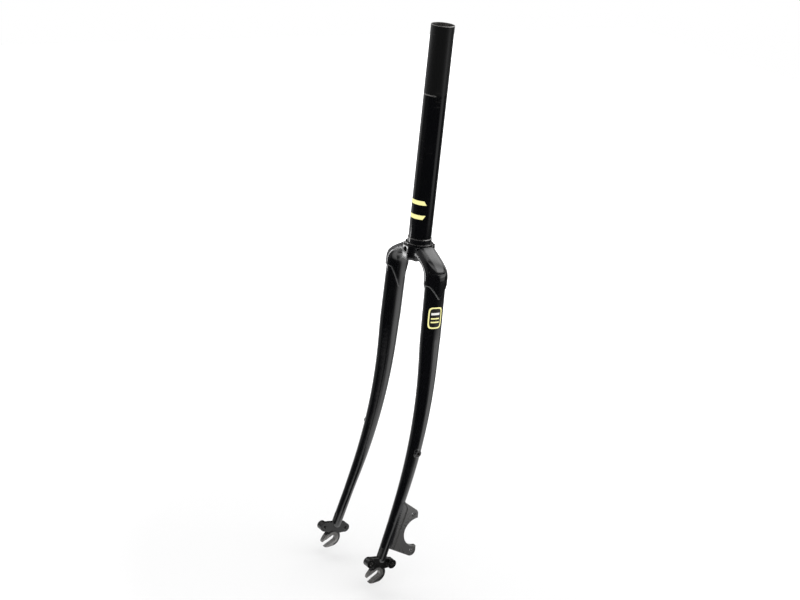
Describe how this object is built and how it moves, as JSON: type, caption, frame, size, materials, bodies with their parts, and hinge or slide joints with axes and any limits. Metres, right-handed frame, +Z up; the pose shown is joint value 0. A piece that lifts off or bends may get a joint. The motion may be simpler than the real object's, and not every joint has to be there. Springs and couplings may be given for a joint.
{
  "type": "rigid bicycle fork",
  "caption": "Rigid steel bicycle fork with a long threadless steerer, lugged crown, raked tapering blades, slotted dropouts with eyelets, rack bosses and a disc brake tab.",
  "frame": {"origin": "centre of the shoulder that the lower headset race sits on", "axes": "+Z up the steerer, +X to the rider's left, -Y forwards"},
  "size_m": [0.1206, 0.0893, 0.6987],
  "materials": {
    "frame_paint": "gloss black paint",
    "steerer_paint": "gloss black paint, worn to satin at the top"
  },
  "bodies": {
    "root": {"steerer_tube": "steerer_paint", "fork_crown": "frame_paint", "left_blade": "frame_paint", "right_blade": "frame_paint", "left_dropout": "frame_paint", "right_dropout": "frame_paint", "disc_brake_mount": "frame_paint", "left_rack_boss": "frame_paint", "right_rack_boss": "frame_paint"}
  },
  "joints": []
}
